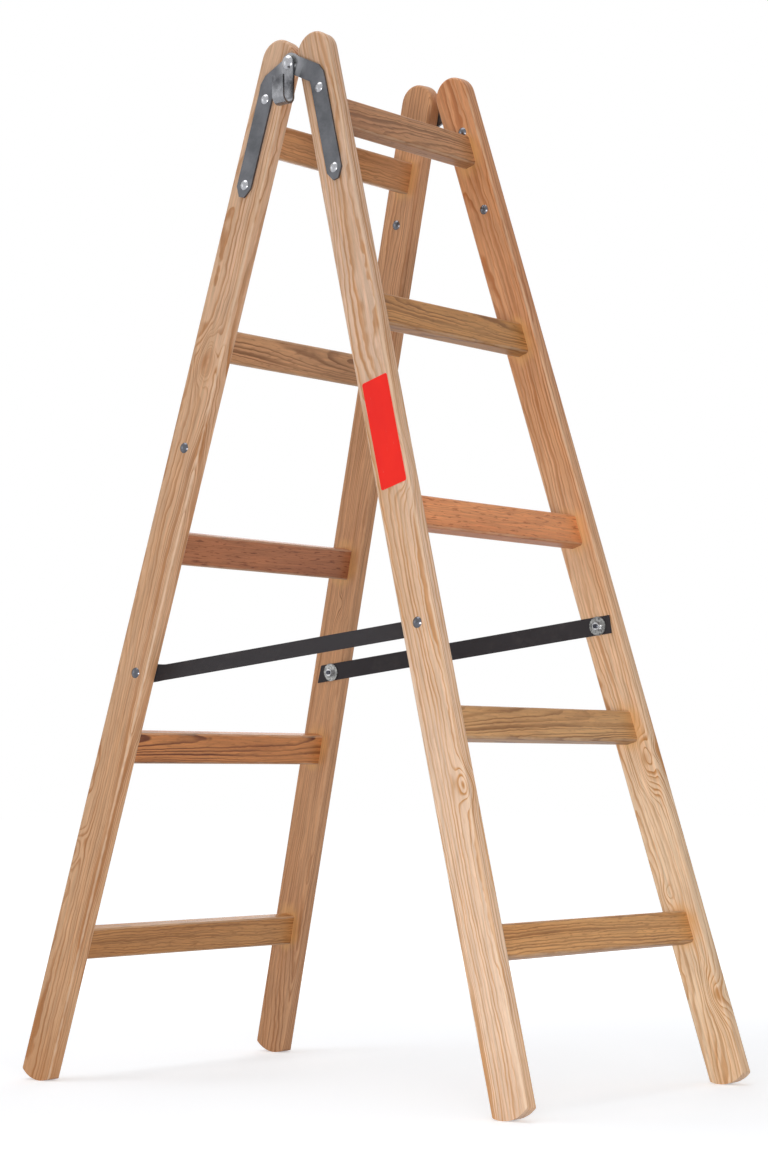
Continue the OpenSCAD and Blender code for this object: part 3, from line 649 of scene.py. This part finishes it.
duller = calc(t, "ADD", calc(t, "MULTIPLY", bloom, BLOOM_DULLS), calc(t, "MULTIPLY", rubbed, RUB_DULLS))
join(t, calc(t, "ADD", given["Shine"], duller), result["Roughness"])
raised = calc(t, "ADD", calc(t, "MULTIPLY", cloudy, BLOOM_RAISED), calc(t, "MULTIPLY", rubbed, RUB_RAISED))
join(t, raised, result["Height"])
print("zinc bloom:", len(t.nodes), "nodes")

# %% Zinc material
# The paler zinc: wear and painted highlight round the pivot, painted highlight outside the stiles and in the
# hook's bend.
RUB_AND_HIGHLIGHT_STEP = (0.010, 0.030)  # metres from the pivot
OUTSIDE_STEP = (-0.011, 0.0)  # metres out from the stiles' outer faces
BEND_HIGHLIGHT_STEP = (0.022, 0.056)  # metres below the pivot
RUBBED_AND_HIGHLIT_ZINC = linear(186, 187, 191)


def zinc(name, bright, dull, scale, shine, metal, rub_and_highlight=0.0, outside_highlight=0.0, bend_highlight=0.0):
    """A zinc finish, paler with wear and a painted highlight round the pivot, and with a painted highlight
    outside the stiles and in the hook's bend.
    """
    made, tree, shader = new_finish(name)
    place = place_at_rest(tree)
    bloom = use(tree, zinc_bloom, Place=place, Bright=linear(*bright), Dull=linear(*dull), Scale=scale,
                Shine=shine)
    from_pivot = move(tree, "SUBTRACT", (0, 0, HINGE_HEIGHT), place)
    rubbed = step_down(tree, length(tree, stretch(tree, from_pivot, (1, 0, 1))), *RUB_AND_HIGHLIGHT_STEP)
    part = axes(tree, from_pivot)
    widening = math.tan(TAPER) / math.cos(LEAN)
    half_width = calc(tree, "MULTIPLY_ADD", part[2], widening, HALF_WIDTH_AT_HINGE)
    beyond = calc(tree, "SUBTRACT", calc(tree, "ABSOLUTE", part[1]), half_width)
    outside = step_up(tree, beyond, *OUTSIDE_STEP)
    bend = step_up(tree, part[2], *BEND_HIGHLIGHT_STEP)
    # Painted highlight: the zinc is made paler round the pivot, where wear adds to it, outside the stiles and
    # in the hook's bend.
    paler = 0.0
    for mask, share in ((rubbed, rub_and_highlight), (outside, outside_highlight), (bend, bend_highlight)):
        paler = calc(tree, "MAXIMUM", paler, calc(tree, "MULTIPLY", mask, share))
    color = tint(tree, paler, bloom["Color"], RUBBED_AND_HIGHLIT_ZINC)
    surface(tree, shader, color, bloom["Roughness"], bloom["Height"], relief=0.25, depth=0.0002)
    set_plain(shader, Metallic=metal)
    return made


print("zinc material ready")

# %% Steel parts
# The pivot, outside and bend shares set how strongly each part gets the painted highlight.
ZINC = {
    "arm_zinc": dict(bright=(106, 107, 112), dull=(84, 86, 90), scale=38, shine=0.26, metal=0.7, rub_and_highlight=0.5),
    "hook_zinc": dict(bright=(104, 105, 109), dull=(66, 67, 71), scale=150, shine=0.16, metal=0.9, rub_and_highlight=0.3,
                      bend_highlight=0.4),
    "rivet_zinc": dict(bright=(116, 116, 121), dull=(88, 88, 93), scale=220, shine=0.12, metal=1.0,
                       outside_highlight=0.75),
    "bolt_zinc": dict(bright=(88, 90, 98), dull=(58, 60, 68), scale=220, shine=0.1, metal=1.0, outside_highlight=0.12),
    "washer_zinc": dict(bright=(182, 182, 180), dull=(76, 76, 76), scale=360, shine=0.18, metal=1.0),
    "nut_zinc": dict(bright=(220, 220, 222), dull=(168, 168, 172), scale=300, shine=0.1, metal=1.0),
}
STEEL_PARTS = (  # the first word found in a node's name decides
    ("rivets", "rivet_zinc"), ("_pin", "rivet_zinc"), ("_arm", "arm_zinc"), ("washer", "washer_zinc"),
    ("nut", "nut_zinc"), ("bolt", "bolt_zinc"), ("bucket_hook", "hook_zinc"),
)
zinc_finishes = {name: zinc(name, **look) for name, look in ZINC.items()}
plated = 0
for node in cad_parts:
    finish = next((finish for word, finish in STEEL_PARTS if word in node), None)
    if finish:
        dress(node, zinc_finishes[finish])
        plated += 1
print("zinc finishes:", len(zinc_finishes), "on", plated, "nodes")

# %% [markdown]
# The blank label. A vinyl rectangle gives the front stile its one spot of red. A plain red would look painted
# on. The film has a soft gloss, is a little faded in patches, and has paler scuffs along the stile.

# %% Label
FADES, FADE_STEP = (30, 30, 12), (0.3, 0.75)
SCUFFS, SCUFF_STEP, SCUFF_SHARE = (260, 260, 60), (0.64, 0.74), 0.25
FRESH_RED, FADED_RED, SCUFFED_RED = linear(246, 24, 10), linear(252, 36, 20), linear(240, 150, 130)
FADE_ROUGH, VINYL_ROUGH = 0.25, 0.32
label_vinyl, t, shader = new_finish("label_vinyl")
place = place_in_board(t, stile_frame("front", "near"))
faded = cloud(t, place, FADES, 3.0)
scuff = step_up(t, cloud(t, place, SCUFFS, 4.0, 0.65), *SCUFF_STEP)
color = tint(t, step_up(t, faded, *FADE_STEP), FRESH_RED, FADED_RED)
color = paint(t, scuff, SCUFF_SHARE, color, SCUFFED_RED)
rough = calc(t, "MULTIPLY_ADD", faded, FADE_ROUGH, VINYL_ROUGH)
surface(t, shader, color, rough, faded, relief=0.15, depth=0.0002)
set_plain(shader, Specular_IOR_Level=0.25)
dress("stile_label", label_vinyl)
print("label dressed")

# %% [markdown]
# The straps. Each is flat woven webbing, bolted to the inner faces of two stiles and pulled straight between
# them when the ladder stands open. A plain box would look like rubber. Here a band is built ring by ring
# along its route: flat on one stile, a soft bend past its edge, straight across, and flat on the other, with
# a thick rolled edge on both sides. The near one hangs a little twisted, and the rear ends are cut at a
# slant.

# %% Strap bolts
STRAP_BOLT = {  # out from the hinge plane, and down from the hinge
    ("front", "near"): (0.031989, 0.7915), ("front", "far"): (0.031989, 0.7765),
    ("rear", "near"): (0.023989, 0.8375), ("rear", "far"): (0.023989, 0.8225),
}


def strap_bolts(side):
    """Where a strap's two bolts meet the inner faces of their stiles."""
    found = {}
    for section, out in OUTWARD.items():
        away, drop = STRAP_BOLT[section, side]
        inner_face = -SIDEWAYS[side] * STILE_THICKNESS / 2
        found[section] = stile_frame(section, side) @ Vector((out * (away - STILE_MIDDLE), inner_face, -drop))
    return found


# %% Strap route
STRAP_WIDTH, STRAP_THICKNESS = 0.025, 0.002
STRAP_FRONT_END, STRAP_REAR_END, STRAP_SLANT = 0.020, 0.0235, 0.0055


def strap_corners(side):
    """A strap's bolts, the way it runs, and its ends and bends, each with the way the strap faces there."""
    bolts = strap_bolts(side)
    run = (bolts["rear"] - bolts["front"]).normalized()
    faces, flat_runs = {}, {}
    for section in bolts:
        inward = Vector((0, -SIDEWAYS[side], 0))
        face = (stile_frame(section, side).to_3x3() @ inward).normalized()
        faces[section], flat_runs[section] = face, (run - face * run.dot(face)).normalized()
    leave = STILE_WIDTH / 2 + STRAP_WIDTH
    corners = [
        (bolts["front"] - flat_runs["front"] * STRAP_FRONT_END, faces["front"]),
        (bolts["front"] + flat_runs["front"] * leave, faces["front"]),
        (bolts["rear"] - flat_runs["rear"] * leave, faces["rear"]),
        (bolts["rear"] + flat_runs["rear"] * STRAP_REAR_END, faces["rear"]),
    ]
    return bolts, run, corners


for side in SIDEWAYS:
    ends = [corner for corner, face in strap_corners(side)[2]]
    print(side, "strap", round(sum((b - a).length for a, b in zip(ends, ends[1:])), 4), "m along its middle")

# %% Strap rings
STRAP_TWIST = {"near": math.radians(22), "far": 0.0}
TWIST_STARTS, TWIST_RAMP = 0.012, 0.018
STRAP_STEPS = (40, 150, 40)


def smooth(share):
    """A share from 0 to 1 that starts and stops softly."""
    share = min(max(share, 0.0), 1.0)
    return share * share * (3 - 2 * share)


def strap_rings(side):
    """Rings along a strap, each with its middle, the way it faces, and its slant towards the cut end."""
    bolts, run, corners = strap_corners(side)
    rings = []
    for index, steps in enumerate(STRAP_STEPS):
        (start, start_face), (end, end_face) = corners[index], corners[index + 1]
        last_ring = 1 if index == len(STRAP_STEPS) - 1 else 0
        for step in range(steps + last_ring):
            middle = start.lerp(end, step / steps)
            face = start_face.lerp(end_face, step / steps).normalized()
            from_front, to_rear = (middle - bolts["front"]).dot(run), (bolts["rear"] - middle).dot(run)
            turn = STRAP_TWIST[side] * smooth((min(from_front, to_rear) - TWIST_STARTS) / TWIST_RAMP)
            up = run.cross(face)
            up = up if up.z > 0 else -up
            middle = middle + face * (math.sin(turn) * STRAP_WIDTH / 2)
            face = face * math.cos(turn) - up * math.sin(turn)
            past_bolt = max(0.0, -to_rear / STRAP_REAR_END)
            rings.append((middle, face, run * past_bolt * STRAP_SLANT))
    return rings


print("rings along a strap:", len(strap_rings("near")))

# %% Strap mesh
def strap_outline():
    """The band's outline, in shares of its half width and its thickness, with rolled edges."""
    rolled = [(-1.0, 0.0), (-0.985, 0.62), (-0.95, 0.94), (-0.90, 1.0), (-0.86, 0.93), (-0.83, 0.84)]
    inside = [(-0.7 + 0.1 * i, 0.88) for i in range(15)]
    band = rolled + inside + [(-across, thick) for across, thick in reversed(rolled)]
    top = [(across, 0.5 + thick / 2) for across, thick in band]
    return top + [(across, 0.5 - thick / 2) for across, thick in reversed(band[1:-1])]


def make_strap(side):
    """A strap as one closed mesh."""
    mesh = bmesh.new()
    rings, outline = strap_rings(side), strap_outline()
    rows = []
    for index, (middle, face, slant) in enumerate(rings):
        onward = rings[min(index + 1, len(rings) - 1)][0] - rings[max(index - 1, 0)][0]
        down = onward.normalized().cross(face).normalized()
        down = -down if down.z > 0 else down
        rows.append([
            mesh.verts.new(middle + down * (a * STRAP_WIDTH / 2) + face * (b * STRAP_THICKNESS) + slant * a)
            for a, b in outline
        ])
    for one, two in zip(rows, rows[1:]):
        for i in range(len(outline)):
            after = (i + 1) % len(outline)
            mesh.faces.new((one[i], one[after], two[after], two[i]))
    mesh.faces.new(list(reversed(rows[0])))
    mesh.faces.new(rows[-1])
    bmesh.ops.recalc_face_normals(mesh, faces=mesh.faces)
    data = bpy.data.meshes.new(f"{side}_webbing")
    mesh.to_mesh(data)
    mesh.free()
    for face in data.polygons:
        face.use_smooth = True
    made = bpy.data.objects.new(f"{side}_webbing", data)
    bpy.context.scene.collection.objects.link(made)
    return made


print("points round a strap:", len(strap_outline()))

# %% [markdown]
# Webbing. Close up it is a weave of dark yarn: ribs across the strap and warp lines along it, with dust
# between them. Modelling each yarn would take a million faces for something a millimetre wide. Two waves
# multiplied give the over and under of the weave, which drives the colour, the roughness and a fine relief.

# %% Webbing material
RIB_PITCH, WARP_PITCH = 0.0017, 0.0021
HOLLOW_ROUGH, TOP_ROUGH = 0.85, 0.65
YARN_DARK, YARN_LIGHT = linear(32, 30, 32), linear(66, 62, 65)
DUST_CLOUDS, DUST_STEP, DUST_SHARE, DUST_GREY = (40, 40, 40), (0.5, 0.8), 0.15, linear(104, 98, 94)
webbing, t, shader = new_finish("webbing")
place = place_at_rest(t)
part = axes(t, place)
rib = calc(t, "SINE", calc(t, "MULTIPLY", part[0], 2 * math.pi / RIB_PITCH))
warp = calc(t, "SINE", calc(t, "MULTIPLY", part[2], 2 * math.pi / WARP_PITCH))
weave = calc(t, "MULTIPLY_ADD", calc(t, "MULTIPLY", rib, warp), 0.5, 0.5)
dusty = step_up(t, cloud(t, place, DUST_CLOUDS, 4.0, 0.6), *DUST_STEP)
color = tint(t, weave, YARN_DARK, YARN_LIGHT)
color = paint(t, dusty, DUST_SHARE, color, DUST_GREY)
rough = calc(t, "MULTIPLY_ADD", weave, TOP_ROUGH - HOLLOW_ROUGH, HOLLOW_ROUGH)
surface(t, shader, color, rough, weave, relief=0.6, depth=0.0004)
set_plain(shader, Sheen_Weight=0.05, Specular_IOR_Level=0.2)
print("webbing: ribs every", RIB_PITCH * 1000, "mm")

# %% Straps in place
for side in SIDEWAYS:
    strap = make_strap(side)
    strap.data.materials.append(webbing)
    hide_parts(f"{side}_strap")
    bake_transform(strap)
    print(strap.name, len(strap.data.vertices), "points")

# %% [markdown]
# Floor and light. The ladder stands on a white sweep with almost no horizon. The floor could be lit until it
# burns out, but that would bleach the timber too. Instead the floor shows the camera a little of its own
# white, more of it further off, which hides the horizon, and it still takes the ladder's soft shadow. Four
# soft boxes and a pale world light the timber at a plain level.

# %% Floor
FLOOR_SIZE = 60
FLOOR_MOTTLES, FLOOR_GREY, FLOOR_PALE = (3, 3, 3), linear(234, 236, 240), linear(240, 242, 245)
GLOW_NEAR, GLOW_MORE, GLOW_STEP = 0.40, 0.30, (0.7, 3.0)


def seen_by_picture(tree):
    """1 for what the camera sees, straight or in gloss or glass, and 0 for light on its way to a surface."""
    ray = put(tree, "LightPath").outputs
    in_gloss = calc(tree, "ADD", ray["Is Glossy Ray"], ray["Is Transmission Ray"])
    return calc(tree, "MINIMUM", 1.0, calc(tree, "ADD", ray["Is Camera Ray"], in_gloss))


bpy.ops.mesh.primitive_plane_add(size=FLOOR_SIZE, location=(0, 0, 0))
floor = bpy.context.object
floor.name = "floor"
floor_paint, t, shader = new_finish("floor_paint")
place = place_at_rest(t)
mottle = cloud(t, place, FLOOR_MOTTLES, 4.0)
join(t, tint(t, mottle, FLOOR_GREY, FLOOR_PALE), shader.inputs["Base Color"])
glow = calc(t, "MULTIPLY_ADD", step_up(t, length(t, place), *GLOW_STEP), GLOW_MORE, GLOW_NEAR)
join(t, calc(t, "MULTIPLY", seen_by_picture(t), glow), shader.inputs["Emission Strength"])
set_plain(shader, Roughness=0.9, Specular_IOR_Level=0.0, Emission_Color=(1, 1, 1, 1))
floor.data.materials.append(floor_paint)
print("floor laid")

# %% Light
SKY_LIGHT = 0.4
LAMPS = {
    "overhead box": dict(place=(-0.3, -0.3, 3.0), aim=(0, 0, 0.6), width=1.6, height=1.6, power=20),
    "low box": dict(place=(1.5, -1.65, 0.3), aim=(0.3, 0, 0.3), width=0.8, height=0.6, power=18),
    "left box": dict(place=(-2.2, -2.0, 1.4), aim=(0, 0, 0.7), width=1.2, height=1.6, power=7),
    "back box": dict(place=(-1.6, 2.4, 1.5), aim=(0, 0, 0.7), width=1.2, height=1.6, power=12),
}


def lamp(name, place, aim, width, height, power):
    """A soft box that faces a point."""
    data = bpy.data.lights.new(name, "AREA")
    data.shape, data.size, data.size_y, data.energy = "RECTANGLE", width, height, power
    made = bpy.data.objects.new(name, data)
    bpy.context.scene.collection.objects.link(made)
    made.location = place
    made.rotation_euler = (Vector(aim) - Vector(place)).to_track_quat("-Z", "Y").to_euler()


for name, box in LAMPS.items():
    lamp(name, **box)
world = bpy.data.worlds.new("studio")
bpy.context.scene.world = world
world.use_nodes = True
t = world.node_tree
background = t.nodes["Background"]
strength = calc(t, "MULTIPLY_ADD", seen_by_picture(t), 1 - SKY_LIGHT, SKY_LIGHT)
join(t, strength, background.inputs["Strength"])
background.inputs["Color"].default_value = (1, 1, 1, 1)
bpy.context.scene.view_settings.view_transform = "Standard"
print("lamps:", list(LAMPS))

# %% [markdown]
# Size and finish. Dressing must not change the ladder's size. The last cell brings the scene up to date.

# %% Bring the scene up to date
bpy.context.view_layer.update()
